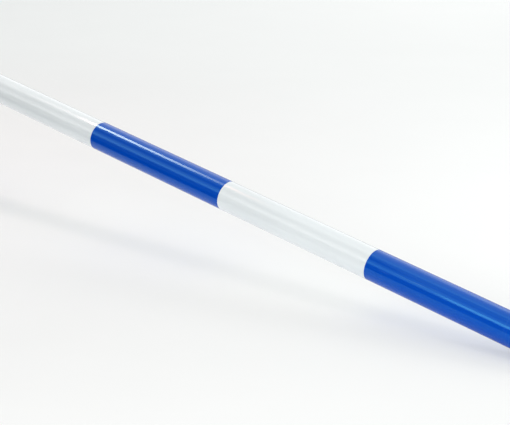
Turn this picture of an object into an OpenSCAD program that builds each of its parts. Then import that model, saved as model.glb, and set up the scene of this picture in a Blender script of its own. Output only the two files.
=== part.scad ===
// Show jump pole: a rounded timber core inside five plastic sleeves, blue and white in turn.
// The sleeves butt end to end on hidden collars, and a moulded cap is screwed on each end.
// The pole lies along X with its middle at the origin, +Z up. All sizes are in millimetres.

/* [Pole] */
// Outside diameter of the pole, the size that the jump cups hold
pole_d = 100; // [90:1:120]
// Length of one coloured sleeve, and so of one band
band_len = 600; // [400:1:800]

/* [Sleeves] */
// Wall of a plastic sleeve
sleeve_wall = 3; // [2.5:0.1:4.5]
// Chamfer round the outside edge at each end of a sleeve
sleeve_edge = 0.4; // [0.2:0.1:0.8]
// Chamfer round the inside edge, which leaves a groove for the collar's rib
sleeve_lead = 1.4; // [0.8:0.1:1.6]

/* [Joint collars] */
// Wall of a collar
collar_wall = 2.6; // [2:0.1:4]
// Length of a collar, half of it in each of the two sleeves that it joins
collar_len = 90; // [50:1:160]
// Chamfer round the outside edge at each end of a collar
collar_lead = 1; // [0.5:0.1:1.5]
// Flat top of the rib that centres a collar between two sleeves
rib_top = 0.5; // [0.3:0.1:0.8]
// Gap left on each side of the rib in the sleeves' groove
rib_gap = 0.2; // [0.1:0.05:0.3]

/* [Timber core] */
// Gap between the core and the collars and caps round it
core_gap = 0.4; // [0.2:0.1:1]
// Chamfer round each end of the core
core_edge = 2; // [1:0.5:4]
// Depth of a pilot hole past the point of its screw
pilot_extra = 6; // [2:1:12]

/* [End caps] */
// Thickness of the flange that closes the end
flange_t = 6; // [5:0.5:10]
// Rounding of the flange's outer edge
flange_round = 3; // [1:0.5:4]
// How far the flange stays in from the outside of the sleeve
flange_inset = 0.3; // [0.1:0.1:1]
// Depth of the shallow dish in the flange's face
dish_depth = 0.8; // [0.4:0.1:1.5]
// Width of the rim left round the dish
rim_w = 11; // [8:0.5:14]
// Length of the skirt that goes into the sleeve
skirt_len = 40; // [30:1:80]
// Gap between the skirt and the sleeve's bore
skirt_gap = 0.3; // [0.2:0.05:0.5]
// Chamfer that leads the skirt into the sleeve
skirt_lead = 1; // [0.5:0.1:1.5]
// Number of raised rings on the skirt that grip the sleeve
grip_count = 3; // [1:1:4]
// Width of a grip ring at its foot
grip_w = 2.4; // [1.5:0.1:4]
// Distance between the middles of two grip rings
grip_pitch = 9; // [6:0.5:12]

/* [Cap screws] */
// Number of screws in a cap
screw_count = 3; // [2:1:6]
// Diameter of the circle that the screws stand on
screw_circle_d = 52; // [40:1:60]
// Diameter of a screw over its thread
screw_d = 5; // [4:0.5:6]
// Length of a screw, countersunk head included
screw_len = 60; // [40:1:90]
// Diameter of the countersunk head
head_d = 10; // [9:0.5:12]
// Height of the head's straight edge
head_edge = 0.4; // [0.2:0.1:0.6]
// How deep the head lies under the face of the dish
head_sink = 0.2; // [0.1:0.1:0.4]
// Length of the screw's point
point_len = 7; // [4:0.5:10]
// Gap between the screw's shank and the hole in the cap
screw_gap = 0.25; // [0.1:0.05:0.5]
// Width across flats of the hexagon socket
socket_af = 3; // [2.5:0.5:4]
// Depth of the hexagon socket
socket_depth = 1.8; // [1:0.1:2.2]

/* [Colours] */
// Blue sleeves and end caps
blue = "#1650b4"; // [#1650b4, #0d3f9c, #2f6fd0]
// White sleeves
white = "#eef1f1"; // [#eef1f1, #ffffff, #e4e8e6]
// Collars
pale_grey = "#d5d9db"; // [#d5d9db, #b9bec1, #8f9498]
// Timber core
pine = "#cfa873"; // [#cfa873, #dcbf8e, #b98f5c]
// Cap screws
steel = "#c0c3c4"; // [#c0c3c4, #9da1a3]

/* [Hidden] */
$fn = 128;
band_count = 5;
tube_len = band_count * band_len;
pole_r = pole_d / 2;
bore_r = pole_r - sleeve_wall;
collar_bore_r = bore_r - collar_wall;
core_r = collar_bore_r - core_gap;
skirt_r = bore_r - skirt_gap;
flange_r = pole_r - flange_inset;
dish_r = flange_r - rim_w;
rib_foot = sleeve_lead - rib_gap;
rib_height = rib_foot - rib_top / 2;
head_r = head_d / 2;
screw_r = screw_d / 2;
cone_depth = head_r - screw_r;
head_top = flange_t - dish_depth - head_sink;
screw_point = head_top - screw_len;
socket_r = socket_af / 2 / cos(30);
// Overlap that a cutting shape needs past a face
cut = 1;

// Turns a shape made round Z so that it lies along X, moved to x
module along_x(x) translate([x, 0, 0]) rotate([0, 90, 0]) children();

// Puts a shape made at the right end on the right end
module at_right_end() along_x(tube_len / 2) children();

// Puts the same shape on the left end, facing the other way
module at_left_end() mirror([1, 0, 0]) at_right_end() children();

// One child on each screw's place, counted from the top of the pole
module at_each_screw()
  for (i = [0 : screw_count - 1])
    rotate([0, 0, 180 + 360 * i / screw_count])
      translate([screw_circle_d / 2, 0, 0]) children();

// One sleeve, counted from the left: a plain tube with its four end edges chamfered
module sleeve(number, colour) {
  half = band_len / 2;
  color(colour)
    along_x((number - (band_count + 1) / 2) * band_len)
    rotate_extrude()
      polygon([[pole_r - sleeve_edge, -half],
               [pole_r, -half + sleeve_edge],
               [pole_r, half - sleeve_edge],
               [pole_r - sleeve_edge, half],
               [bore_r + sleeve_lead, half],
               [bore_r, half - sleeve_lead],
               [bore_r, -half + sleeve_lead],
               [bore_r + sleeve_lead, -half]]);
}

// The collar welded inside two sleeves, number counting the joint from the left.
// Its rib lies in the groove that the two sleeves' inside chamfers make.
module joint_collar(number) {
  half = collar_len / 2;
  color(pale_grey)
    along_x((number - band_count / 2) * band_len)
    rotate_extrude()
      polygon([[collar_bore_r, -half],
               [bore_r - collar_lead, -half],
               [bore_r, -half + collar_lead],
               [bore_r, -rib_foot],
               [bore_r + rib_height, -rib_top / 2],
               [bore_r + rib_height, rib_top / 2],
               [bore_r, rib_foot],
               [bore_r, half - collar_lead],
               [bore_r - collar_lead, half],
               [collar_bore_r, half]]);
}

// The rounded softwood pole that carries the sleeves, with pilot holes for the cap screws
module timber_core() {
  half = tube_len / 2;
  color(pine)
    difference() {
      along_x(0)
        rotate_extrude()
          polygon([[0, -half],
                   [core_r - core_edge, -half],
                   [core_r, -half + core_edge],
                   [core_r, half - core_edge],
                   [core_r - core_edge, half],
                   [0, half]]);
      at_left_end() pilot_holes();
      at_right_end() pilot_holes();
    }
}

module pilot_holes() {
  depth = pilot_extra - screw_point;
  at_each_screw() translate([0, 0, -depth]) cylinder(r = screw_r, h = depth + cut);
}

// Half section of the cap: z is 0 where the flange meets the sleeve and grows outwards
module cap_section() {
  difference() {
    square([flange_r, flange_t]);
    translate([flange_r - flange_round, flange_t - flange_round])
      difference() {
        square(flange_round + cut);
        circle(r = flange_round);
      }
    translate([-cut, flange_t - dish_depth]) square([dish_r + cut, dish_depth + cut]);
  }
  polygon([[collar_bore_r, 0],
           [collar_bore_r, -skirt_len],
           [skirt_r - skirt_lead, -skirt_len],
           [skirt_r, -skirt_len + skirt_lead],
           [skirt_r, 0]]);
  for (i = [1 : grip_count]) translate([skirt_r, -i * grip_pitch]) grip_section();
}

// One grip ring, whose flat top meets the sleeve's bore
module grip_section()
  polygon([[-skirt_gap, -grip_w / 2],
           [0, -grip_w / 2],
           [skirt_gap, -grip_w / 4],
           [skirt_gap, grip_w / 4],
           [0, grip_w / 2],
           [-skirt_gap, grip_w / 2]]);

// The moulded cap with its countersunk screw holes
module end_cap()
  color(blue)
  difference() {
    rotate_extrude() cap_section();
    at_each_screw() {
      translate([0, 0, -cut]) cylinder(r = screw_r + screw_gap, h = flange_t + 2 * cut);
      translate([0, 0, head_top - head_edge - cone_depth])
        cylinder(r1 = screw_r, r2 = head_r, h = cone_depth);
      translate([0, 0, head_top - head_edge]) cylinder(r = head_r, h = flange_t);
    }
  }

// The wood screws of one cap, each with a hexagon socket in its flat head
module cap_screws()
  color(steel)
  at_each_screw()
    difference() {
      rotate_extrude()
        polygon([[0, screw_point],
                 [screw_r, screw_point + point_len],
                 [screw_r, head_top - head_edge - cone_depth],
                 [head_r, head_top - head_edge],
                 [head_r, head_top],
                 [0, head_top]]);
      translate([0, 0, head_top - socket_depth])
        cylinder(r = socket_r, h = socket_depth + cut, $fn = 6);
    }

timber_core();
sleeve(1, blue);  // blue_sleeve_1
sleeve(2, white);  // white_sleeve_2
sleeve(3, blue);  // blue_sleeve_3
sleeve(4, white);  // white_sleeve_4
sleeve(5, blue);  // blue_sleeve_5
joint_collar(1);  // joint_collar_1_2
joint_collar(2);  // joint_collar_2_3
joint_collar(3);  // joint_collar_3_4
joint_collar(4);  // joint_collar_4_5
at_left_end() end_cap();  // left_end_cap
at_right_end() end_cap();  // right_end_cap
at_left_end() cap_screws();  // left_cap_screws
at_right_end() cap_screws();  // right_cap_screws
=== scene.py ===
# %% [markdown]
# # A show jump pole
# A show jump pole is a round bar of about three metres that a horse jumps over. It lies loose in
# two cups, so that it can be knocked down. This one has a softwood core inside five glossy plastic
# sleeves, blue and white in turn, and a moulded cap screwed on each end.
#
# The solid model is loaded first and stays fixed: it says where every piece is and how large. This
# lesson gives each piece its finish, and makes the pieces that show as finer meshes in its place.

# %% Load the fixed frame
import math

import bpy
from mathutils import Matrix, Vector


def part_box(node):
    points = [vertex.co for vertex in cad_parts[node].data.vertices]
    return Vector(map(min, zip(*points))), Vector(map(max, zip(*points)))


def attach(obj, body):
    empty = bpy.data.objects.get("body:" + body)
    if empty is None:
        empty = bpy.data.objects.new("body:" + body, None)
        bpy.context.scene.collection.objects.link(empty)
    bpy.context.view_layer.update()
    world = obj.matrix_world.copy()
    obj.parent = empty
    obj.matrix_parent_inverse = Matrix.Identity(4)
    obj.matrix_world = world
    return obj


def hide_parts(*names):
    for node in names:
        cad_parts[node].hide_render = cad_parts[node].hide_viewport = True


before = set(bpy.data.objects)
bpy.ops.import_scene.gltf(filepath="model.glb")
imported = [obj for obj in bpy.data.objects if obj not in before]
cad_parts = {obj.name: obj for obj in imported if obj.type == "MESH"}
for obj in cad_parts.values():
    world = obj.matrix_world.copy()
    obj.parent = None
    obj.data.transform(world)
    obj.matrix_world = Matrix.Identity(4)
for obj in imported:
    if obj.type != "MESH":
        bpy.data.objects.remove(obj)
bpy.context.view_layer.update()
print("solid model:", sorted(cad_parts))

# %% [markdown]
# ## Sizes that the frame gives
# A length that is written twice can disagree with itself. The sizes of the pole are therefore read
# from the boxes of its solids, and only what a box can't say is written down later, in millimetres.

# %% Measure the pole
MM = 0.001
sleeve_nodes = sorted((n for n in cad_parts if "sleeve" in n), key=lambda n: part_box(n)[0].x)
first_low, first_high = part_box(sleeve_nodes[0])
pole_radius = first_high.z
band_length = first_high.x - first_low.x
tube_end = -first_low.x
print(f"pole radius {pole_radius / MM:.1f} mm, band {band_length / MM:.0f} mm, end at {tube_end} m")

# %% [markdown]
# ## The room and the camera
# In the photograph one end of the pole rests on a white floor and the other is held up. The pole
# lies level here, so the floor slopes instead. One matrix stands for the room: its origin is where
# the pole touches the floor, its x runs under the pole, its y towards the camera and its z up.
#
# The camera is a level tripod camera in that room. Its long lens keeps the bands almost equal, as
# in the photograph. The heading and pitch are turned to a matrix one after the other, the way one
# turns a tripod's head, and the room's matrix then carries the whole tripod.

# %% Set up the room and the camera
FLOOR_SLOPE = math.radians(10)
touch_point = Vector((-tube_end, 0, -pole_radius))
room = Matrix.Translation(touch_point) @ Matrix.Rotation(FLOOR_SLOPE, 4, "Y")

TRIPOD_SPOT = Vector((-1.8354, 3.3738, 1.5904))
HEADING = math.radians(-139.41)
PITCH = math.radians(-17.09)
LENS_MM = 102.09
IMAGE_WIDTH = 510
IMAGE_HEIGHT = 425

camera = bpy.data.objects.new("photo_camera", bpy.data.cameras.new("photo_camera"))
camera.data.lens = LENS_MM
camera.data.clip_end = 100
look = Matrix.Rotation(HEADING, 4, "Z") @ Matrix.Rotation(math.radians(90) + PITCH, 4, "X")
camera.matrix_world = room @ Matrix.Translation(TRIPOD_SPOT) @ look
bpy.context.scene.collection.objects.link(camera)
bpy.context.scene.camera = camera
bpy.context.scene.view_settings.view_transform = "Standard"

for joint_x in (0.5 * band_length, -0.5 * band_length, -1.5 * band_length):
    seen = camera.matrix_world.inverted() @ Vector((joint_x, 0, 0))
    zoom = LENS_MM / camera.data.sensor_width * IMAGE_WIDTH / -seen.z
    across, down = IMAGE_WIDTH / 2 + seen.x * zoom, IMAGE_HEIGHT / 2 - seen.y * zoom
    print(f"joint at x = {joint_x:.1f} m shows at pixel {across:.1f}, {down:.1f}")

# %% [markdown]
# ## Small helpers
# Blender's shaders work with linear light, but colours are easier to pick as the hex values of a
# paint program, so one function turns the one into the other. Another adds a node to any tree, sets
# it up and links it. With it a material reads as a list of what it is made of. The same links and
# values go into a shader that is there already with fill.

# %% Helpers for colours and nodes
def linear(hex_colour):
    """Turns a hex colour into linear red, green, blue and alpha."""
    channels = [int(hex_colour[i:i + 2], 16) / 255 for i in (1, 3, 5)]
    return [c / 12.92 if c < 0.04045 else ((c + 0.055) / 1.055) ** 2.4 for c in channels] + [1]


def fill(tree, node, inputs):
    """Fills inputs. Each takes a plain value, a socket, or a node, whose first output is used."""
    live = [socket for socket in node.inputs if socket.enabled]
    for key, value in inputs.items():
        socket = live[key] if isinstance(key, int) else next(s for s in live if s.name == key)
        if isinstance(value, bpy.types.Node):
            value = next(s for s in value.outputs if s.enabled)
        if isinstance(value, bpy.types.NodeSocket):
            tree.links.new(value, socket)
        else:
            socket.default_value = value


def add(tree, kind, settings=None, inputs=None):
    """Adds a node with its settings and its inputs."""
    node = tree.nodes.new(kind)
    node.location.x = 200 * len(tree.nodes)
    for name, value in (settings or {}).items():
        setattr(node, name, value)
    fill(tree, node, inputs or {})
    return node


def per_metre(size_mm):
    """The scale of a texture whose features are size_mm millimetres wide."""
    return 1 / (size_mm * MM)


def empty_material(name):
    """A Principled material, its tree, its shader, and where a point is on the object."""
    made = bpy.data.materials.new(name)
    made.use_nodes = True
    tree = made.node_tree
    place = add(tree, "ShaderNodeTexCoord").outputs["Object"]
    return made, tree, tree.nodes["Principled BSDF"], place


print("white in linear light:", [round(c, 3) for c in linear("#eef1f1")])

# %% [markdown]
# ## Extruded uPVC, the sleeves
# The sleeves are unplasticised PVC pipe, pressed through a steel die and cooled in water. That
# gives a high gloss with very fine lines along the pipe, and a faint orange peel. Use adds thin
# scratches along it, and rubbed rings near the ends of the pole, where the cups hold it.
#
# All of it comes from noise in Object coordinates. Squeezing the coordinates along x to a fiftieth
# draws the noise out fifty times, into lines along the pole. Squeezing y and z instead draws it
# round the pole. The real die lines are finer than a tenth of a millimetre, so they are drawn
# coarser here, or they wouldn't show.
#
# The photograph's blue has almost no red, not even in its sheen, so the gloss of the blue pipe is
# tinted towards cyan. The white pipe keeps plain gloss.

# %% Sleeve material
DRAWN_OUT = 0.02
UPVC_IOR = 1.53
POLISHED = 0.09
SCRATCHED = 0.3
TONE_STRENGTH = 0.1
SCUFF_STRENGTH = 0.25
CUPS_BEGIN = 0.13
CUPS_FULL = 0.07


def extruded_upvc(name, colour, scuff_colour, gloss_tint):
    """Glossy extruded pipe. The scuff colour shows where the surface is scratched."""
    made, tree, shader, place = empty_material(name)
    along = add(tree, "ShaderNodeMapping", inputs={"Vector": place, "Scale": (DRAWN_OUT, 1, 1)})
    slanted = add(tree, "ShaderNodeMapping", inputs={
        "Vector": place, "Rotation": (0, math.radians(4), math.radians(3)),
        "Scale": (DRAWN_OUT, 1, 1)})
    around = add(tree, "ShaderNodeMapping", inputs={"Vector": place, "Scale": (1, 0.05, 0.05)})

    tone = add(tree, "ShaderNodeTexNoise", inputs={
        "Vector": place, "Scale": per_metre(260), "Detail": 3.0})
    die_lines = add(tree, "ShaderNodeTexNoise", inputs={
        "Vector": along, "Scale": per_metre(2.5), "Detail": 4.0})
    orange_peel = add(tree, "ShaderNodeTexNoise", inputs={
        "Vector": place, "Scale": per_metre(9), "Detail": 1.0})
    scratch_noise = add(tree, "ShaderNodeTexNoise", inputs={
        "Vector": slanted, "Scale": per_metre(3), "Detail": 2.0})
    scratches = add(tree, "ShaderNodeMapRange", inputs={
        "Value": scratch_noise, "From Min": 0.69, "From Max": 0.76})

    reach = add(tree, "ShaderNodeMath", {"operation": "ABSOLUTE"}, {
        0: add(tree, "ShaderNodeSeparateXYZ", inputs={0: place}).outputs["X"]})
    near_cups = add(tree, "ShaderNodeMapRange", {"interpolation_type": "SMOOTHSTEP"}, {
        "Value": reach, "From Min": tube_end - CUPS_BEGIN, "From Max": tube_end - CUPS_FULL})
    ring_noise = add(tree, "ShaderNodeTexNoise", inputs={
        "Vector": around, "Scale": per_metre(7), "Detail": 3.0})
    rings = add(tree, "ShaderNodeMapRange", inputs={
        "Value": ring_noise, "From Min": 0.52, "From Max": 0.8})
    rubbed = add(tree, "ShaderNodeMath", {"operation": "MULTIPLY"}, {0: near_cups, 1: rings})
    worn = add(tree, "ShaderNodeMath", {"operation": "MAXIMUM"}, {0: scratches, 1: rubbed})

    toned = add(tree, "ShaderNodeMix", {"data_type": "RGBA", "blend_type": "MULTIPLY"}, {
        "Factor": TONE_STRENGTH, "A": linear(colour), "B": tone})
    scuff_cover = add(tree, "ShaderNodeMath", {"operation": "MULTIPLY"}, {
        0: worn, 1: SCUFF_STRENGTH})
    scuffed = add(tree, "ShaderNodeMix", {"data_type": "RGBA"}, {
        "Factor": scuff_cover, "A": toned, "B": linear(scuff_colour)})
    dullness = add(tree, "ShaderNodeMapRange", inputs={
        "Value": worn, "To Min": POLISHED, "To Max": SCRATCHED})
    waves = add(tree, "ShaderNodeBump", inputs={
        "Distance": 0.008 * MM, "Height": orange_peel})
    lines = add(tree, "ShaderNodeBump", inputs={
        "Distance": 0.003 * MM, "Height": die_lines, "Normal": waves})

    fill(tree, shader, {
        "Base Color": scuffed, "Roughness": dullness, "Normal": lines,
        "IOR": UPVC_IOR, "Specular Tint": linear(gloss_tint)})
    return made


blue_upvc = extruded_upvc("blue_extruded_upvc", "#0047b9", "#5f86c8", "#7eefff")
white_upvc = extruded_upvc("white_extruded_upvc", "#e9f1f3", "#c3c8c8", "#ffffff")
print("sleeve materials:", blue_upvc.name, white_upvc.name)

# %% [markdown]
# ## Three helpers for Geometry Nodes
# The pieces that show come from Geometry Nodes. One helper starts a tree, one ends it and one runs
# it on an empty object, whose result stays as plain mesh. All trees end alike: Realize Instances
# makes real mesh of all copies, Set Material gives the finish, and Group Output hands it on.

# %% Helpers for Geometry Nodes
def new_tree(name, inputs):
    """An empty geometry tree. Inputs maps each name to its socket type and first value."""
    tree = bpy.data.node_groups.new(name, "GeometryNodeTree")
    tree.interface.new_socket("Geometry", in_out="OUTPUT", socket_type="NodeSocketGeometry")
    for label, (kind, value) in inputs.items():
        socket = tree.interface.new_socket(label, in_out="INPUT", socket_type=f"NodeSocket{kind}")
        if value is not None:
            socket.default_value = value
    return tree, tree.nodes.new("NodeGroupInput").outputs


def end_tree(tree, shape, material):
    """Ends a tree with real mesh in one material."""
    whole = add(tree, "GeometryNodeRealizeInstances", inputs={"Geometry": shape})
    painted = add(tree, "GeometryNodeSetMaterial", inputs={"Geometry": whole, "Material": material})
    add(tree, "NodeGroupOutput", inputs={"Geometry": painted})
    print(tree.name, "is a tree of", len(tree.nodes), "nodes")


def run_tree(name, tree, values):
    """Runs a tree on an empty object and keeps the result as a plain mesh object."""
    carrier = bpy.data.objects.new("carrier", bpy.data.meshes.new("carrier"))
    bpy.context.scene.collection.objects.link(carrier)
    modifier = carrier.modifiers.new("maker", "NODES")
    modifier.node_group = tree
    for item in tree.interface.items_tree:
        if item.name in values:
            modifier[item.identifier] = values[item.name]
    graph = bpy.context.evaluated_depsgraph_get()
    mesh = bpy.data.meshes.new_from_object(carrier.evaluated_get(graph))
    carrier.modifiers.clear()
    bpy.data.objects.remove(carrier)
    mesh.name = name
    piece = bpy.data.objects.new(name, mesh)
    bpy.context.scene.collection.objects.link(piece)
    return piece


# %% [markdown]
# ## The sleeves
# A sleeve is a ring-shaped section drawn out along x, or, seen the other way, a small rectangle
# carried round a circle. Geometry Nodes make it that way: a rectangle as high as the wall is
# thick, with its corners cut off, is the profile, and Curve to Mesh carries it round the circle.
# One tree serves all five sleeves, because only its place and its material differ.

# %% Geometry Nodes tree of a sleeve
sleeve_tree, given = new_tree("extruded_sleeve", {
    "Outer radius": ("Float", pole_radius), "Wall": ("Float", 3 * MM),
    "Length": ("Float", band_length), "Middle": ("Float", 0.0),
    "Outside chamfer": ("Float", 0.4 * MM), "Inside chamfer": ("Float", 1.4 * MM),
    "Segments": ("Int", 128), "Material": ("Material", None)})
half_wall = add(sleeve_tree, "ShaderNodeMath", {"operation": "MULTIPLY"}, {
    0: given["Wall"], 1: 0.5})
path_radius = add(sleeve_tree, "ShaderNodeMath", {"operation": "SUBTRACT"}, {
    0: given["Outer radius"], 1: half_wall})
section = add(sleeve_tree, "GeometryNodeCurvePrimitiveQuadrilateral", inputs={
    "Width": given["Wall"], "Height": given["Length"]})
side = add(sleeve_tree, "ShaderNodeSeparateXYZ", inputs={
    0: add(sleeve_tree, "GeometryNodeInputPosition")})
outside = add(sleeve_tree, "FunctionNodeCompare", {"operation": "GREATER_THAN"}, {
    "A": side.outputs["X"], "B": 0.0})
corner = add(sleeve_tree, "GeometryNodeSwitch", {"input_type": "FLOAT"}, {
    "Switch": outside, "False": given["Inside chamfer"], "True": given["Outside chamfer"]})
profile = add(sleeve_tree, "GeometryNodeFilletCurve", {"mode": "POLY"}, {
    "Curve": section, "Count": 1, "Radius": corner})
circle = add(sleeve_tree, "GeometryNodeCurvePrimitiveCircle", inputs={
    "Resolution": given["Segments"], "Radius": path_radius})
ring = add(sleeve_tree, "GeometryNodeCurveToMesh", inputs={
    "Curve": circle, "Profile Curve": profile})
middle = add(sleeve_tree, "ShaderNodeCombineXYZ", inputs={"X": given["Middle"]})
laid = add(sleeve_tree, "GeometryNodeTransform", inputs={
    "Geometry": ring, "Translation": middle, "Rotation": (0, math.radians(90), 0)})
end_tree(sleeve_tree, laid, given["Material"])

# %% [markdown]
# ## Five sleeves from one tree
# Each solid's box says where its sleeve goes. Shading is smooth round the pipe and sharp at its
# chamfers: an edge that turns by more than 25 degrees stays sharp. Each new sleeve then takes the
# place of its solid, which is hidden, and is named after it with extruded_ in front.

# %% Make the five sleeves
SHARP_ANGLE = math.radians(25)

for node in sleeve_nodes:
    low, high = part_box(node)
    colour = node.split("_")[0]
    finish = blue_upvc if colour == "blue" else white_upvc
    sleeve = run_tree(f"extruded_{node}", sleeve_tree, {
        "Middle": (low.x + high.x) / 2, "Material": finish})
    sleeve.data.shade_smooth()
    sleeve.data.set_sharp_from_angle(angle=SHARP_ANGLE)
    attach(sleeve, "root")
    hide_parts(node)
    size = [round(s / MM, 1) for s in sleeve.dimensions]
    print(sleeve.name, "measures", size, "mm, faces:", len(sleeve.data.polygons))

# %% [markdown]
# ## Moulded polyethylene, the caps
# The caps are injection moulded in tough polyethylene. The mould was spark eroded, which leaves a
# fine even grain on the plastic and a soft sheen. The grain is drawn coarser than the real tenth of
# a millimetre, so that it shows. The melt ran out from the gate in the middle, so faint streaks
# lead away from it. The rim takes the knocks and is whitened by them.
#
# A direction with the distance divided out is the same all along a spoke, so noise that reads it
# gives spokes. The rim is found by its distance from the pole's axis.

# %% Cap material
KNOCKED_WIDTH = 5 * MM
WHITENING = 0.5
POLYETHYLENE_IOR = 1.52

moulded_polyethylene, tree, shader, place = empty_material("blue_moulded_polyethylene")
across = add(tree, "ShaderNodeVectorMath", {"operation": "MULTIPLY"}, {0: place, 1: (0, 1, 1)})
reach = add(tree, "ShaderNodeVectorMath", {"operation": "LENGTH"}, {0: across}).outputs["Value"]
spoke = add(tree, "ShaderNodeVectorMath", {"operation": "NORMALIZE"}, {0: across})
streaks = add(tree, "ShaderNodeTexNoise", inputs={"Vector": spoke, "Scale": 14.0, "Detail": 3.0})
grain = add(tree, "ShaderNodeTexNoise", inputs={
    "Vector": place, "Scale": per_metre(0.9), "Detail": 2.0})
knocks = add(tree, "ShaderNodeTexNoise", inputs={
    "Vector": place, "Scale": per_metre(3), "Detail": 5.0})
off_middle = add(tree, "ShaderNodeMath", {"operation": "ABSOLUTE"}, {
    0: add(tree, "ShaderNodeSeparateXYZ", inputs={0: place}).outputs["X"]})
past_tube = add(tree, "ShaderNodeMapRange", {"interpolation_type": "SMOOTHSTEP"}, {
    "Value": off_middle, "From Min": tube_end + 1 * MM, "From Max": tube_end + 4 * MM})
at_rim = add(tree, "ShaderNodeMapRange", {"interpolation_type": "SMOOTHSTEP"}, {
    "Value": reach, "From Min": pole_radius - KNOCKED_WIDTH, "From Max": pole_radius - 1 * MM,
    "To Max": past_tube})
knocked = add(tree, "ShaderNodeMapRange", inputs={
    "Value": knocks, "From Min": 0.56, "From Max": 0.72})
whitened = add(tree, "ShaderNodeMath", {"operation": "MULTIPLY"}, {0: at_rim, 1: knocked})
streaked = add(tree, "ShaderNodeMix", {"data_type": "RGBA"}, {
    "Factor": streaks, "A": linear("#0f3f98"), "B": linear("#154aa8")})
white_cover = add(tree, "ShaderNodeMath", {"operation": "MULTIPLY"}, {0: whitened, 1: WHITENING})
coloured = add(tree, "ShaderNodeMix", {"data_type": "RGBA"}, {
    "Factor": white_cover, "A": streaked, "B": linear("#86a3d8")})
sheen = add(tree, "ShaderNodeMapRange", inputs={
    "Value": whitened, "To Min": 0.36, "To Max": 0.6})
surface = add(tree, "ShaderNodeBump", inputs={
    "Distance": 0.02 * MM, "Height": grain})
fill(tree, shader, {
    "Base Color": coloured, "Roughness": sheen, "Normal": surface, "IOR": POLYETHYLENE_IOR})
print("cap material:", moulded_polyethylene.name)

# %% [markdown]
# ## Stainless steel, the screws
# The screws are cold headed in stainless steel, and their heads are faced on a lathe. The tool
# leaves fine rings round each screw's own axis. A pattern in Object coordinates would be centred
# on the pole, so each screw brings its own coordinates in an attribute, which the screws' tree
# stores before it sets them in their circle. The rings are about twice as coarse as real ones.

# %% Screw material
TURNED_PLACE = "turned_place"

stainless_steel, tree, shader, place = empty_material("turned_stainless_steel")
own_place = add(tree, "ShaderNodeAttribute", {"attribute_name": TURNED_PLACE}).outputs["Vector"]
flat_place = add(tree, "ShaderNodeVectorMath", {"operation": "MULTIPLY"}, {
    0: own_place, 1: (0, 1, 1)})
from_axis = add(tree, "ShaderNodeVectorMath", {"operation": "LENGTH"}, {0: flat_place})
tool_rings = add(tree, "ShaderNodeTexNoise", {"noise_dimensions": "1D"}, {
    "W": from_axis.outputs["Value"], "Scale": per_metre(0.2), "Detail": 3.0})
stains = add(tree, "ShaderNodeTexNoise", inputs={
    "Vector": place, "Scale": per_metre(3), "Detail": 4.0})
steel_colour = add(tree, "ShaderNodeMix", {"data_type": "RGBA"}, {
    "Factor": stains, "A": linear("#b9bab8"), "B": linear("#d0d1cf")})
steel_sheen = add(tree, "ShaderNodeMapRange", inputs={
    "Value": tool_rings, "To Min": 0.2, "To Max": 0.42})
turned = add(tree, "ShaderNodeBump", inputs={
    "Distance": 0.01 * MM, "Height": tool_rings})
fill(tree, shader, {
    "Base Color": steel_colour, "Roughness": steel_sheen, "Normal": turned, "Metallic": 1.0})
print("screw material:", stainless_steel.name)

# %% [markdown]
# ## A lathe in mesh code
# The caps and the screws are round but for a few details, so both come from one small lathe. It
# takes rings from one end of the piece to the other, each with its place along x and its radius,
# and joins each ring to the next. A radius may also be a function of the angle, which is enough
# for a thread and for a hexagon socket.

# %% The lathe
def lathe(name, rings, segments):
    """A closed mesh round the x axis, from rings of (x, radius) in their order along it."""
    points, faces = [], []
    for x, radius in rings:
        for i in range(segments):
            angle = math.tau * i / segments
            r = radius(angle) if callable(radius) else radius
            points.append((x, r * math.sin(angle), r * math.cos(angle)))
    for start in range(0, len(points) - segments, segments):
        for i in range(segments):
            j = (i + 1) % segments
            faces.append((start + i, start + segments + i, start + segments + j, start + j))
    faces.append(tuple(range(segments)))
    faces.append(tuple(reversed(range(len(points) - segments, len(points)))))
    mesh = bpy.data.meshes.new(name)
    mesh.from_pydata(points, [], faces)
    return bpy.data.objects.new(name, mesh)


drum = lathe("drum", [(0, 1), (1, 1)], 6)
print("a lathe test, a drum of six sides, has", len(drum.data.polygons), "faces")
bpy.data.objects.remove(drum)

# %% [markdown]
# ## The caps
# A cap has a flange that closes the pole, with a shallow dish in its face, and a skirt that is
# pushed into the sleeve. Three raised rings on the skirt grip the sleeve's bore. The dish has a
# round mark in its middle, where the sprue was cut from the gate. The solid's box gives the outer
# sizes, and the rest is usual for such caps.

# %% Measure a cap
cap_low, cap_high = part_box("right_end_cap")
FLANGE_TOP = cap_high.x
SKIRT_END = cap_low.x
FLANGE_RADIUS = cap_high.z
FLANGE_ROUND = 3 * MM
RIM_WIDTH = 11 * MM
DISH_DEPTH = 0.8 * MM
DISH_FILLET = 0.4 * MM
SKIRT_RADIUS = 46.7 * MM
SKIRT_BORE = 44.4 * MM
SKIRT_LEAD = 1 * MM
GRIP_HEIGHT = 0.3 * MM
GRIP_WIDTH = 2.4 * MM
GRIP_PITCH = 9 * MM
GRIP_COUNT = 3
GATE_RADIUS = 2.2 * MM
GATE_RING = 4 * MM
GATE_DEPTH = 0.2 * MM
GATE_BEVEL = 0.3 * MM
GATE_RISE = 0.1 * MM
ROUND_STEPS = 8
CAP_SEGMENTS = 144

dish_floor = FLANGE_TOP - DISH_DEPTH
dish_radius = FLANGE_RADIUS - RIM_WIDTH
print(f"flange radius {FLANGE_RADIUS / MM:.1f} mm, dish radius {dish_radius / MM:.1f} mm")

# %% [markdown]
# ## Turning the blank
# The blank is turned on the lathe. Its rings start inside the skirt, go round the skirt's end, over
# the grip rings and the flange's round edge, and end in the dish at the gate mark.

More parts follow.
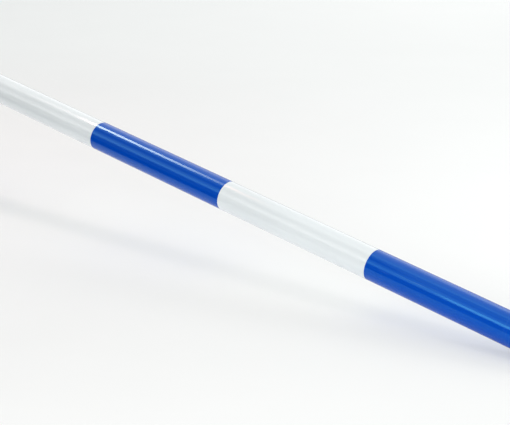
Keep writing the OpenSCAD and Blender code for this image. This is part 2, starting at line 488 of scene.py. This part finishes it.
# %% Turn the blank of a cap
def arc(x, radius, size, start, end):
    """The points of a quarter round with its centre at (x, radius)."""
    for step in range(ROUND_STEPS + 1):
        angle = math.radians(start + (end - start) * step / ROUND_STEPS)
        yield x + size * math.cos(angle), radius + size * math.sin(angle)


def grip_ring(x):
    """The four points of a raised ring on the skirt, with its middle at x."""
    yield x - GRIP_WIDTH / 2, SKIRT_RADIUS
    yield x - GRIP_WIDTH / 4, SKIRT_RADIUS + GRIP_HEIGHT
    yield x + GRIP_WIDTH / 4, SKIRT_RADIUS + GRIP_HEIGHT
    yield x + GRIP_WIDTH / 2, SKIRT_RADIUS


cap_rings = [(tube_end, GATE_RADIUS), (tube_end, SKIRT_BORE), (SKIRT_END, SKIRT_BORE),
             (SKIRT_END, SKIRT_RADIUS - SKIRT_LEAD), (SKIRT_END + SKIRT_LEAD, SKIRT_RADIUS)]
for number in range(GRIP_COUNT, 0, -1):
    cap_rings.extend(grip_ring(tube_end - number * GRIP_PITCH))
cap_rings.extend([(tube_end, SKIRT_RADIUS), (tube_end, FLANGE_RADIUS)])
cap_rings.extend(arc(FLANGE_TOP - FLANGE_ROUND, FLANGE_RADIUS - FLANGE_ROUND, FLANGE_ROUND, 90, 0))
cap_rings.extend(arc(FLANGE_TOP - DISH_FILLET, dish_radius + DISH_FILLET, DISH_FILLET, 0, -90))
cap_rings.extend([(dish_floor, dish_radius), (dish_floor, GATE_RING),
                  (dish_floor - GATE_DEPTH, GATE_RING - GATE_BEVEL),
                  (dish_floor - GATE_DEPTH, GATE_RADIUS + GATE_DEPTH),
                  (dish_floor + GATE_RISE, GATE_RADIUS),
                  (dish_floor + 2 * GATE_RISE, GATE_RADIUS / 2)])
cap_blank = lathe("cap_blank", cap_rings, CAP_SEGMENTS)
print("cap blank:", len(cap_rings), "rings,", len(cap_blank.data.polygons), "faces")

# %% [markdown]
# ## Drilling
# The three countersunk holes repeat round a circle, so a Geometry Nodes tree puts a cutter on each
# point of it and takes them all away at once. The screws' box gives the sizes for it. One screw
# stands at the top of the circle and the other two half its radius under the middle, so the top and
# the bottom of their box sum to half that radius. The cutter is a countersink: a straight drill,
# then a cone, then a wide bore that goes on past the face, because two faces that only touch would
# confuse the cut.

# %% Geometry Nodes tree that drills a cap
screws_low, screws_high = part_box("right_cap_screws")
SCREW_COUNT = 3
SCREW_CIRCLE = 2 * (screws_high.z + screws_low.z)
HEAD_RADIUS = screws_high.z - SCREW_CIRCLE
HEAD_TOP = screws_high.x
SCREW_POINT = screws_low.x
HEAD_EDGE = 0.4 * MM
SHANK_RADIUS = 2.5 * MM
HOLE_GAP = 0.25 * MM
CUT_PAST = 1 * MM
CUTTER_SEGMENTS = 64

hole_radius = SHANK_RADIUS + HOLE_GAP
cone_end = HEAD_TOP - HEAD_EDGE
cone_depth = HEAD_RADIUS - SHANK_RADIUS
cutter = lathe("countersink", [
    (tube_end - CUT_PAST, hole_radius), (cone_end - cone_depth + HOLE_GAP, hole_radius),
    (cone_end, HEAD_RADIUS), (FLANGE_TOP + CUT_PAST, HEAD_RADIUS)], CUTTER_SEGMENTS)


def screw_spots(tree, given):
    """The points of a circle round the x axis, one for each screw, with the first at the top."""
    circle = add(tree, "GeometryNodeMeshCircle", inputs={
        "Vertices": given["Screws"], "Radius": given["Circle"]})
    return add(tree, "GeometryNodeTransform", inputs={
        "Geometry": circle, "Rotation": (0, math.radians(-90), 0)})


drill_tree, given = new_tree("drilled_cap", {
    "Blank": ("Object", None), "Cutter": ("Object", None), "Screws": ("Int", SCREW_COUNT),
    "Circle": ("Float", SCREW_CIRCLE), "Turn": ("Float", 0.0), "Material": ("Material", None)})
blank = add(drill_tree, "GeometryNodeObjectInfo", inputs={"Object": given["Blank"]})
tool = add(drill_tree, "GeometryNodeObjectInfo", inputs={"Object": given["Cutter"]})
tools = add(drill_tree, "GeometryNodeInstanceOnPoints", inputs={
    "Points": screw_spots(drill_tree, given), "Instance": tool.outputs["Geometry"]})
solid_tools = add(drill_tree, "GeometryNodeRealizeInstances", inputs={"Geometry": tools})
drilled = add(drill_tree, "GeometryNodeMeshBoolean", {"solver": "EXACT"}, {
    0: blank.outputs["Geometry"], 1: solid_tools})
about_z = add(drill_tree, "ShaderNodeCombineXYZ", inputs={"Z": given["Turn"]})
turned_round = add(drill_tree, "GeometryNodeTransform", inputs={
    "Geometry": drilled, "Rotation": about_z})
end_tree(drill_tree, turned_round, given["Material"])

# %% [markdown]
# ## Two caps from one tree
# The tree makes the cap of the right end. The left cap is the same one turned half a turn about z,
# which is a turn and no mirror, so its faces still point outwards. The blank and the cutter were
# only tools, so they go when both caps are made.

# %% Make both caps
ENDS = {"right": 0.0, "left": math.pi}

for end, turn in ENDS.items():
    cap = run_tree(f"moulded_{end}_end_cap", drill_tree, {
        "Blank": cap_blank, "Cutter": cutter, "Turn": turn, "Material": moulded_polyethylene})
    cap.data.shade_smooth()
    cap.data.set_sharp_from_angle(angle=SHARP_ANGLE)
    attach(cap, "root")
    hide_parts(f"{end}_end_cap")
    print(cap.name, "has", len(cap.data.polygons), "faces")

bpy.data.objects.remove(cap_blank)
bpy.data.objects.remove(cutter)

# %% [markdown]
# ## The cap screws
# They are countersunk wood screws with a hexagon socket. The thread is one ridge that climbs by
# its pitch in each turn, so the radius of a ring depends on both its place and the angle. The
# socket's six flats are a radius too: the distance to a flat, divided by the cosine of the angle
# from the middle of that flat. The socket ends in the blunt cone of the drill that opened it.

# %% Turn one screw
THREAD_PITCH = 2.5 * MM
THREAD_ROOT = 1.7 * MM
THREAD_TOP = HEAD_TOP - 22 * MM
POINT_LENGTH = 7 * MM
RIDGE_SHARE = 0.25
RINGS_PER_TURN = 8
SOCKET_FLAT = 1.5 * MM
SOCKET_DEPTH = 1.8 * MM
SOCKET_POINT = 0.5 * MM
HEAD_BEVEL = 0.1 * MM
SCREW_SEGMENTS = 48


def thread(x):
    """The radius of the thread at x, as a function of the angle."""
    taper = min(1, 0.1 + (x - SCREW_POINT) / POINT_LENGTH)
    runout = min(1, max(0, (THREAD_TOP - x) / THREAD_PITCH))

    def radius(angle):
        phase = (x / THREAD_PITCH + angle / math.tau) % 1
        ridge = max(0, 1 - abs(phase - 0.5) / RIDGE_SHARE)
        return taper * (THREAD_ROOT + (SHANK_RADIUS - THREAD_ROOT) * ridge * runout)
    return radius


def hexagon(angle):
    """The distance from the middle of the socket to its flats."""
    sixth = math.tau / 6
    return SOCKET_FLAT / math.cos((angle + sixth / 2) % sixth - sixth / 2)


ring_step = THREAD_PITCH / RINGS_PER_TURN
ring_count = int((THREAD_TOP - SCREW_POINT) / ring_step)
screw_rings = [(SCREW_POINT + k * ring_step, thread(SCREW_POINT + k * ring_step))
               for k in range(ring_count + 1)]
screw_rings += [(THREAD_TOP, THREAD_ROOT), (THREAD_TOP + THREAD_PITCH / 2, SHANK_RADIUS),
                (cone_end - cone_depth, SHANK_RADIUS), (cone_end, HEAD_RADIUS),
                (HEAD_TOP - HEAD_BEVEL, HEAD_RADIUS), (HEAD_TOP, HEAD_RADIUS - HEAD_BEVEL),
                (HEAD_TOP, hexagon), (HEAD_TOP - SOCKET_DEPTH, hexagon),
                (HEAD_TOP - SOCKET_DEPTH, SOCKET_FLAT * 0.8),
                (HEAD_TOP - SOCKET_DEPTH - SOCKET_POINT, SOCKET_FLAT * 0.1)]
screw = lathe("screw", screw_rings, SCREW_SEGMENTS)
print("screw:", len(screw_rings), "rings,", len(screw.data.polygons), "faces")

# %% [markdown]
# ## Setting the screws
# The same circle of points that held the cutters now holds the screws. Nobody stops three screws at
# the same angle, so the tree turns each by a random amount about its own axis. Its seed is fixed,
# so each run gives the same angles. Before that it stores each point's own place for the lathe
# rings of the steel.

# %% Geometry Nodes tree that sets the screws in their circle
set_tree, given = new_tree("screw_set", {
    "Screw": ("Object", None), "Screws": ("Int", SCREW_COUNT), "Circle": ("Float", SCREW_CIRCLE),
    "Seed": ("Int", 0), "Turn": ("Float", 0.0), "Material": ("Material", None)})
one = add(set_tree, "GeometryNodeObjectInfo", inputs={"Object": given["Screw"]})
marked = add(set_tree, "GeometryNodeStoreNamedAttribute", {"data_type": "FLOAT_VECTOR"}, {
    "Geometry": one.outputs["Geometry"], "Name": TURNED_PLACE,
    "Value": add(set_tree, "GeometryNodeInputPosition")})
stop = add(set_tree, "FunctionNodeRandomValue", inputs={
    "Min": 0.0, "Max": math.tau, "Seed": given["Seed"]})
stop_angle = add(set_tree, "ShaderNodeCombineXYZ", inputs={"X": stop})
screws = add(set_tree, "GeometryNodeInstanceOnPoints", inputs={
    "Points": screw_spots(set_tree, given), "Instance": marked, "Rotation": stop_angle})
about_z = add(set_tree, "ShaderNodeCombineXYZ", inputs={"Z": given["Turn"]})
turned_round = add(set_tree, "GeometryNodeTransform", inputs={
    "Geometry": screws, "Rotation": about_z})
end_tree(set_tree, turned_round, given["Material"])

# %% [markdown]
# ## Two sets of screws
# Each cap's three screws are one piece, as their solid is. The two sets get different seeds.

# %% Make both sets of screws
for seed, (end, turn) in enumerate(ENDS.items(), start=1):
    screw_set = run_tree(f"turned_{end}_cap_screws", set_tree, {
        "Screw": screw, "Seed": seed, "Turn": turn, "Material": stainless_steel})
    screw_set.data.shade_smooth()
    screw_set.data.set_sharp_from_angle(angle=SHARP_ANGLE)
    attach(screw_set, "root")
    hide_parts(f"{end}_cap_screws")
    print(screw_set.name, "has", len(screw_set.data.polygons), "faces")

bpy.data.objects.remove(screw)

# %% [markdown]
# ## Pine, the core
# The core is a pine pole turned to size, which nobody sees until a cap comes off. Its tree's
# heart lies a little off the middle and wanders. The yearly rings are a sawtooth of the distance
# from that heart: each goes slowly from pale spring wood to dark summer wood and then drops back.
# Fibres are noise drawn out along the pole, coarser than real ones, so that they show.

# %% Core material
RING_WIDTH = 3.5
HEART_SWAY = 12 * MM
HEART_PLACE = (0, 6 * MM, -12 * MM)

turned_pine, tree, shader, place = empty_material("turned_pine")
wander = add(tree, "ShaderNodeTexNoise", inputs={
    "Vector": add(tree, "ShaderNodeMapping", inputs={"Vector": place, "Scale": (0.1, 1, 1)}),
    "Scale": per_metre(60), "Detail": 2.0})
swayed = add(tree, "ShaderNodeVectorMath", {"operation": "MULTIPLY_ADD"}, {
    0: wander.outputs["Color"], 1: (0, HEART_SWAY, HEART_SWAY), 2: place})
from_heart = add(tree, "ShaderNodeVectorMath", {"operation": "MULTIPLY"}, {
    0: add(tree, "ShaderNodeMapping", inputs={"Vector": swayed, "Location": HEART_PLACE}),
    1: (0, 1, 1)})
heart_distance = add(tree, "ShaderNodeVectorMath", {"operation": "LENGTH"}, {0: from_heart})
ring_number = add(tree, "ShaderNodeMath", {"operation": "MULTIPLY"}, {
    0: heart_distance.outputs["Value"], 1: per_metre(RING_WIDTH)})
season = add(tree, "ShaderNodeMath", {"operation": "FRACT"}, {0: ring_number})
late_wood = add(tree, "ShaderNodeMath", {"operation": "POWER"}, {0: season, 1: 3.0})
fibres = add(tree, "ShaderNodeTexNoise", inputs={
    "Vector": add(tree, "ShaderNodeMapping", inputs={
        "Vector": place, "Scale": (DRAWN_OUT, 1, 1)}),
    "Scale": per_metre(0.8), "Detail": 3.0})
ringed = add(tree, "ShaderNodeMix", {"data_type": "RGBA"}, {
    "Factor": late_wood, "A": linear("#dcb888"), "B": linear("#b07a45")})
pine_colour = add(tree, "ShaderNodeMix", {"data_type": "RGBA", "blend_type": "MULTIPLY"}, {
    "Factor": 0.35, "A": ringed, "B": fibres.outputs["Color"]})
pine_dullness = add(tree, "ShaderNodeMapRange", inputs={
    "Value": late_wood, "To Min": 0.75, "To Max": 0.55})
pine_surface = add(tree, "ShaderNodeBump", inputs={
    "Distance": 0.08 * MM, "Height": fibres})
fill(tree, shader, {
    "Base Color": pine_colour, "Roughness": pine_dullness, "Normal": pine_surface})
print("core material:", turned_pine.name)

# %% [markdown]
# ## Grey uPVC, the collars
# The collars are cut from thinner grey pipe and turned down at both ends. The lathe leaves fine
# rings round them, so here the noise is squeezed across the pole and not along it. The rings are
# drawn coarser than the real feed of the tool, so that they show.

# %% Collar material
grey_upvc, tree, shader, place = empty_material("grey_turned_upvc")
lathe_marks = add(tree, "ShaderNodeTexNoise", inputs={
    "Vector": add(tree, "ShaderNodeMapping", inputs={
        "Vector": place, "Scale": (1, DRAWN_OUT, DRAWN_OUT)}),
    "Scale": per_metre(0.6), "Detail": 2.0})
cloud = add(tree, "ShaderNodeTexNoise", inputs={"Vector": place, "Scale": per_metre(25)})
collar_colour = add(tree, "ShaderNodeMix", {"data_type": "RGBA"}, {
    "Factor": cloud, "A": linear("#ccd1d4"), "B": linear("#dde0e2")})
collar_dullness = add(tree, "ShaderNodeMapRange", inputs={
    "Value": lathe_marks, "To Min": 0.35, "To Max": 0.55})
collar_surface = add(tree, "ShaderNodeBump", inputs={
    "Distance": 0.02 * MM, "Height": lathe_marks})
fill(tree, shader, {
    "Base Color": collar_colour, "Roughness": collar_dullness, "Normal": collar_surface,
    "IOR": UPVC_IOR})
print("collar material:", grey_upvc.name)

# %% [markdown]
# ## Finish on the solids that stay
# The core and the collars already have their right shape, so the solids stay as they are and only
# get these two materials.

# %% Give the core and the collars their finish
inner_finishes = {"timber_core": turned_pine}
inner_finishes.update({n: grey_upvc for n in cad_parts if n.startswith("joint_collar")})
for node, finish in inner_finishes.items():
    for material_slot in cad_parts[node].material_slots:
        material_slot.material = finish
    print(node, "is finished in", finish.name)

# %% [markdown]
# ## Sheets parallel to the floor
# The photograph was taken on a plain white floor. Round its edges the floor here fades out, so that
# no edge of it shows against the white room from any side. The fade is a product of four ramps, one
# for each side. It needs the place in the room, and a Mapping node of the Texture type gives that,
# because it undoes the room's place and slope. Two more sheets use these helpers further on.

# %% Helpers for sheets
def place_in_room(tree, place):
    """The place in the room's coordinates, from the place in the pole's coordinates."""
    return add(tree, "ShaderNodeMapping", {"vector_type": "TEXTURE"}, {
        "Vector": place, "Location": touch_point, "Rotation": (0, FLOOR_SLOPE, 0)})


def faded(tree, place, x_range, y_range, fades):
    """A cover of one that falls to zero at each edge. The fades are low x, high x, low y, high y."""
    split = add(tree, "ShaderNodeSeparateXYZ", inputs={0: place_in_room(tree, place)})
    edges = [("X", x_range[0], 1), ("X", x_range[1], -1),
             ("Y", y_range[0], 1), ("Y", y_range[1], -1)]
    cover = 1.0
    for (axis, edge, inwards), fade in zip(edges, fades):
        ramp = add(tree, "ShaderNodeMapRange", {"interpolation_type": "SMOOTHSTEP"}, {
            "Value": split.outputs[axis], "From Min": edge, "From Max": edge + inwards * fade})
        cover = add(tree, "ShaderNodeMath", {"operation": "MULTIPLY"}, {0: ramp, 1: cover})
    return cover


def lay_on_floor(name, x_range, y_range, height, material):
    """A flat sheet that lies parallel to the floor, at a height over it."""
    corners = [(x_range[0], y_range[0]), (x_range[1], y_range[0]),
               (x_range[1], y_range[1]), (x_range[0], y_range[1])]
    mesh = bpy.data.meshes.new(name)
    mesh.from_pydata([room @ Vector((x, y, height)) for x, y in corners], [], [(0, 1, 2, 3)])
    mesh.materials.append(material)
    sheet = bpy.data.objects.new(name, mesh)
    bpy.context.scene.collection.objects.link(sheet)
    return sheet


print("the pole's middle in the room:", [round(c, 3) for c in room.inverted().to_translation()])

# %% [markdown]
# ## Matt white paper
# Paper spreads light evenly, so it has no gloss, and it keeps the soft shadow of the pole. It is
# never quite smooth or quite one tone, so a faint noise varies both.

# %% Floor material
white_paper, tree, shader, place = empty_material("matt_white_paper")
paper_tone = add(tree, "ShaderNodeTexNoise", inputs={
    "Vector": place, "Scale": per_metre(400), "Detail": 3.0})
white_colour = add(tree, "ShaderNodeMix", {"data_type": "RGBA"}, {
    "Factor": paper_tone, "A": linear("#f5f5f5"), "B": linear("#f9f9f9")})
paper_grain = add(tree, "ShaderNodeTexNoise", inputs={
    "Vector": place, "Scale": per_metre(3), "Detail": 2.0})
paper_surface = add(tree, "ShaderNodeBump", inputs={
    "Strength": 0.3, "Distance": 0.05 * MM, "Height": paper_grain})
fill(tree, shader, {"Normal": paper_surface, "Roughness": 1.0, "Specular IOR Level": 0.0})
print("floor material:", white_paper.name)

# %% [markdown]
# ## A pale shadow
# The photograph's shadow is pale. So for the camera alone the paper gives a part of its white as a
# glow of its own, which no shadow takes away, and the rest as lit paper. It adds no light to the
# pole, because Is Camera Ray switches it off for every other ray.
#
# The glow is a little weaker round the near end, where the paper gets most light. It is much weaker
# round the strip lamp, so that the fine shadow there stays clear, and it drops there by a fifth
# more than its share, because the strip brightens the paper. Its slant is per metre.

# %% Let the paper glow for the camera
LIFT = 0.45
HIGHEST_LIFT = LIFT + 0.04
LIFT_SLANT = (-0.018, -0.022, 0)
NEAR_SPOT = (0.0, 1.2, 0)
NEAR_REACH = (1.2, 2.1)
NEAR_DROP = 0.05
STRIP_X = 3.3
STRIP_REACH = 3.2
STRIP_DROP = 0.25
STRIP_SURPLUS = 1.2

seen_straight = add(tree, "ShaderNodeLightPath").outputs["Is Camera Ray"]
in_room = place_in_room(tree, place)
from_strip = add(tree, "ShaderNodeVectorMath", {"operation": "DISTANCE"}, {
    0: in_room, 1: (STRIP_X, 0, 0)})
strip_share = add(tree, "ShaderNodeMapRange", {"interpolation_type": "SMOOTHSTEP"}, {
    "Value": from_strip.outputs["Value"], "From Max": STRIP_REACH,
    "To Min": -STRIP_DROP, "To Max": 0.0})
glow_share = add(tree, "ShaderNodeMath", {"operation": "ADD"}, {0: strip_share, 1: LIFT})
held_back = add(tree, "ShaderNodeMath", {"operation": "MULTIPLY"}, {
    0: seen_straight, 1: glow_share})
paper_colour = add(tree, "ShaderNodeMix", {"data_type": "RGBA"}, {
    "Factor": held_back, "A": white_colour, "B": linear("#000000")})
from_spot = add(tree, "ShaderNodeVectorMath", {"operation": "DISTANCE"}, {0: in_room, 1: NEAR_SPOT})
near_lift = add(tree, "ShaderNodeMapRange", {"interpolation_type": "SMOOTHSTEP"}, {
    "Value": from_spot.outputs["Value"], "From Min": NEAR_REACH[0], "From Max": NEAR_REACH[1],
    "To Min": LIFT - NEAR_DROP, "To Max": LIFT})
slant = add(tree, "ShaderNodeVectorMath", {"operation": "DOT_PRODUCT"}, {
    0: in_room, 1: LIFT_SLANT}).outputs["Value"]
slanted_lift = add(tree, "ShaderNodeMath", {"operation": "ADD"}, {0: near_lift, 1: slant})
topped_lift = add(tree, "ShaderNodeMath", {"operation": "MINIMUM"}, {
    0: slanted_lift, 1: HIGHEST_LIFT})
level_lift = add(tree, "ShaderNodeMath", {"operation": "MULTIPLY_ADD"}, {
    0: strip_share, 1: STRIP_SURPLUS, 2: topped_lift})
lift = add(tree, "ShaderNodeMath", {"operation": "MULTIPLY"}, {0: level_lift, 1: seen_straight})
fill(tree, shader, {
    "Base Color": paper_colour, "Emission Strength": lift, "Emission Color": linear("#fafffd")})
print("the paper's glow is", LIFT, "of its white")

# %% [markdown]
# ## The floor itself
# One face is enough for a flat floor. The fades are widest on the two far sides, where the camera
# looks along the floor.

# %% Lay the floor
FLOOR_X = (-0.8, 8.0)
FLOOR_Y = (-7.5, 2.4)
FLOOR_FADES = (0.5, 1.7, 1.8, 1.0)

fill(tree, shader, {"Alpha": faded(tree, place, FLOOR_X, FLOOR_Y, FLOOR_FADES)})
floor = lay_on_floor("paper_floor", FLOOR_X, FLOOR_Y, 0.0, white_paper)
print("the floor's faces:", len(floor.data.polygons))

# %% [markdown]
# ## A sheet of painted dark reflection
# Gloss shows what is round it. The lower half of the blue sleeves has a deep dark core, and this
# dark sheet beside the pole paints that dark reflection. It is seen by reflections only, so the
# camera never sees it and it takes no light from the floor, and its sides are soft.

# %% Lay the sheet of painted dark reflection
DARK_SHEET_X = (1.3, 6.5)
DARK_SHEET_Y = (0.42, 3.9)
DARK_SHEET_FADES = (0.35,) * 4
DARK_SHEET_THICKNESS = 2 * MM


def show_in_gloss_only(sheet):
    """Hides a sheet from all rays but those that a glossy surface reflects."""
    for unseen_by in ("camera", "diffuse", "shadow", "transmission"):
        setattr(sheet, f"visible_{unseen_by}", False)
    print(sheet.name, "is seen by the camera:", sheet.visible_camera)


# This material paints a dark reflection: a near-black sheet that only the gloss shows.
painted_dark_reflection, tree, shader, place = empty_material("painted_dark_reflection")
dark_reflection_noise = add(tree, "ShaderNodeTexNoise", inputs={
    "Vector": place, "Scale": per_metre(2), "Detail": 3.0})
dark_reflection_colour = add(tree, "ShaderNodeMix", {"data_type": "RGBA"}, {
    "Factor": dark_reflection_noise, "A": linear("#101010"), "B": linear("#1a1a1a")})
fill(tree, shader, {
    "Base Color": dark_reflection_colour, "Roughness": 1.0, "Specular IOR Level": 0.0,
    "Alpha": faded(tree, place, DARK_SHEET_X, DARK_SHEET_Y, DARK_SHEET_FADES)})
show_in_gloss_only(lay_on_floor("dark_card", DARK_SHEET_X, DARK_SHEET_Y, DARK_SHEET_THICKNESS, painted_dark_reflection))

# %% [markdown]
# ## The light
# The photograph was lit softly from all round, with a little more light near the camera. Three
# things give that here: a tent of white cloth all round, softboxes overhead and beside the camera,
# and one small panel that only shines back from the gloss.
#
# The world is the tent. What a lying cylinder reflects depends almost only on the angle round its
# own axis, so the tent's brightness is a colour ramp over that angle, which is 0 level on the
# camera's side, 90 overhead and 180 level on the far side. On the raised side the bright stops at
# 32, 90 and 150 degrees draw the pale bands on the blue sleeves, and the dark stops their deep
# blue. The reflections in the picture all lean towards the raised end, so that half has a ramp of
# its own. Seen straight by the camera the tent is plain white, which Is Camera Ray gives, and the
# object gets no more light from that.

# %% Helper for a ramp over an angle
def ramp_over(tree, angle, stops):
    """The brightness between stops of (angle in degrees, brightness), as a socket."""
    first, last = stops[0][0], stops[-1][0]
    brightest = max(value for _, value in stops)
    spot = add(tree, "ShaderNodeMapRange", inputs={
        "Value": angle, "From Min": first, "From Max": last})
    ramp = add(tree, "ShaderNodeValToRGB", inputs={"Fac": spot})
    for number, (degrees, value) in enumerate(stops):
        position = (degrees - first) / (last - first)
        elements = ramp.color_ramp.elements
        stop = elements[number] if number < 2 else elements.new(position)
        stop.position = position
        stop.color = [value / brightest] * 3 + [1]
    return add(tree, "ShaderNodeMath", {"operation": "MULTIPLY"}, {0: ramp, 1: brightest})


RAISED_SIDE = [(-60, 0.0), (-4, 0.0), (8, 0.33), (20, 0.1), (32, 2.3), (46, 1.24), (62, 0.16),
               (80, 1.0), (90, 2.15), (97, 1.45), (122, 1.22), (150, 1.62), (178, 0.5), (205, 0.0),
               (260, 0.0)]
LOW_SIDE = [(-60, 0.0), (0, 0.23), (40, 0.23), (70, 0.66), (110, 0.66), (140, 0.67), (190, 0.67),
            (240, 0.0)]
print("brightest part of the tent:", max(value for _, value in RAISED_SIDE))

# %% [markdown]
# ## The tent's cloth
# A direction's parts along, across and over the floor come from three dot products with the room's
# axes. The last two give the angle, which runs from -90 to 270 degrees, so that the jump from the
# end to the start lies under the floor. The part along the pole mixes the two ramps.

# %% Light the tent
MIX_BETWEEN = (-0.15, 0.35)
TENT_START = -90.0

tent = bpy.data.worlds.new("white_tent")
bpy.context.scene.world = tent
tent.use_nodes = True
tree = tent.node_tree
tree.nodes.clear()
way = add(tree, "ShaderNodeTexCoord").outputs["Generated"]
room_axes = room.to_3x3()
along, aside, upward = (add(tree, "ShaderNodeVectorMath", {"operation": "DOT_PRODUCT"}, {
    0: way, 1: room_axes.col[axis]}).outputs["Value"] for axis in range(3))
round_pole = add(tree, "ShaderNodeMath", {"operation": "ARCTAN2"}, {0: upward, 1: aside})
degrees_round = add(tree, "ShaderNodeMath", {"operation": "DEGREES"}, {0: round_pole})
past_under = add(tree, "ShaderNodeMath", {"operation": "LESS_THAN"}, {
    0: degrees_round, 1: TENT_START})
whole_round = add(tree, "ShaderNodeMath", {"operation": "MULTIPLY_ADD"}, {
    0: past_under, 1: 360.0, 2: degrees_round})
raised_share = add(tree, "ShaderNodeMapRange", {"interpolation_type": "SMOOTHSTEP"}, {
    "Value": along, "From Min": MIX_BETWEEN[0], "From Max": MIX_BETWEEN[1]})
brightness = add(tree, "ShaderNodeMix", {"data_type": "FLOAT"}, {
    "Factor": raised_share, "A": ramp_over(tree, whole_round, LOW_SIDE),
    "B": ramp_over(tree, whole_round, RAISED_SIDE)})
seen_straight = add(tree, "ShaderNodeLightPath").outputs["Is Camera Ray"]
cloth = add(tree, "ShaderNodeMix", {"data_type": "FLOAT"}, {
    "Factor": seen_straight, "A": brightness, "B": 1.0})
cloth_light = add(tree, "ShaderNodeBackground", inputs={
    "Color": linear("#ffffff"), "Strength": cloth})
add(tree, "ShaderNodeOutputWorld", inputs={"Surface": cloth_light})
print("the tent is a tree of", len(tree.nodes), "nodes")

# %% [markdown]
# ## The softboxes
# A lamp's power is hard to judge, so each softbox is given by how bright its face is, where 1 is
# the white of the picture. Blender wants watts, and a face of that brightness sends out pi times
# its area. Large faces give the wide, soft shadow at the near end. A lamp straight over its aim
# could be turned either way, so each such aim lies a centimetre aside.
#
# The fine, pale shadow straight under the raised end needs a narrow lamp straight over the pole.
# That strip is left out of the reflections, because the bright panel stands for it there. It and
# the softbox over the middle are a little warm, so their shadows turn out a little cool.

# %% Hang the softboxes
def softbox(name, spot, aim, width, length, brightness, colour):
    """A lamp whose face is brightness times as bright as the picture's white."""
    data = bpy.data.lights.new(name, "AREA")
    data.shape = "RECTANGLE"
    data.size = width
    data.size_y = length
    data.energy = brightness * math.pi * width * length
    data.color = linear(colour)[:3]
    lamp = bpy.data.objects.new(name, data)
    bpy.context.scene.collection.objects.link(lamp)
    facing = (Vector(aim) - Vector(spot)).to_track_quat("-Z", "Y").to_matrix().to_4x4()
    lamp.matrix_world = room @ Matrix.Translation(spot) @ facing
    lamp.visible_camera = False
    print(name, "gives", round(data.energy, 2), "W")
    return lamp


WARM = "#ffebe4"
PLAIN = "#ffffff"
STRIP_HEIGHT = 2.3
SOFTBOXES = [
    ("over_middle", (0.6, 1.5, 2.4), (0.6, 0.9, 0.0), 1.6, 1.6, 0.62, WARM),
    ("behind_near_end", (-0.6, -2.2, 1.8), (-0.6, 0.0, 0.0), 1.4, 1.0, 3.15, PLAIN),
    ("over_floor_right", (0.8, -2.8, 2.4), (0.8, -2.79, 0.0), 1.6, 1.6, 0.66, PLAIN),
    ("over_floor_left", (3.6, -6.0, 2.4), (3.6, -5.99, 0.0), 1.6, 1.6, 1.0, PLAIN),
    ("beside_camera", (-0.8, 3.2, 1.1), (-0.48, 0.0, 0.3), 1.2, 0.6, 3.45, PLAIN),
    ("above_camera", (0.9, 3.05, 2.1), (0.6, 0.0, 0.2), 1.5, 0.9, 2.7, PLAIN),
    ("low_near_end", (-1.0, 2.0, 0.5), (-0.4, 0.0, 0.1), 1.2, 0.5, 7.3, PLAIN)]

strip = softbox("over_pole", (STRIP_X, 0.0, STRIP_HEIGHT), (STRIP_X, 0.01, 0.0), 1.1, 0.3, 8.3, WARM)
strip.visible_glossy = False
for settings in SOFTBOXES:
    softbox(*settings)

# %% [markdown]
# ## The bright panel
# On the blue sleeve in the middle the photograph has one sharp bright line. The gloss mirrors the
# strip lamp overhead there, and a cylinder stretches what it reflects along its own length. How the
# line brightens and ends doesn't follow from an even lamp, so this panel with a graded face takes
# the strip's place, and it shows in reflections only. Along the pole its face rises slowly to full
# brightness and drops sharply near its end, where it also turns white from a warm tone.

# %% Hang the bright panel
PANEL_X = (1.9, 3.3)
PANEL_Y = (-0.40, 0.12)
PANEL_BRIGHTNESS = 23.5
PANEL_RISE = (1.7, 3.05)
PANEL_FALL = (2.88, 3.02)
PANEL_REST = 0.12

frosted_panel = bpy.data.materials.new("frosted_lamp_panel")
frosted_panel.use_nodes = True
tree = frosted_panel.node_tree
tree.nodes.clear()
place = add(tree, "ShaderNodeTexCoord").outputs["Object"]
room_x = add(tree, "ShaderNodeSeparateXYZ", inputs={0: place_in_room(tree, place)}).outputs["X"]
rise = add(tree, "ShaderNodeMapRange", {"interpolation_type": "SMOOTHSTEP"}, {
    "Value": room_x, "From Min": PANEL_RISE[0], "From Max": PANEL_RISE[1],
    "To Max": PANEL_BRIGHTNESS})
fall = add(tree, "ShaderNodeMapRange", {"interpolation_type": "SMOOTHSTEP"}, {
    "Value": room_x, "From Min": PANEL_FALL[0], "From Max": PANEL_FALL[1],
    "To Min": 1.0, "To Max": PANEL_REST})
panel_glow = add(tree, "ShaderNodeMath", {"operation": "MULTIPLY"}, {0: rise, 1: fall})
panel_colour = add(tree, "ShaderNodeMix", {"data_type": "RGBA"}, {
    "Factor": fall, "A": linear("#ffffff"), "B": linear("#ffcebe")})
panel_light = add(tree, "ShaderNodeEmission", inputs={
    "Color": panel_colour.outputs[2], "Strength": panel_glow})
add(tree, "ShaderNodeOutputMaterial", inputs={"Surface": panel_light})
show_in_gloss_only(lay_on_floor("lamp_panel", PANEL_X, PANEL_Y, STRIP_HEIGHT, frosted_panel))
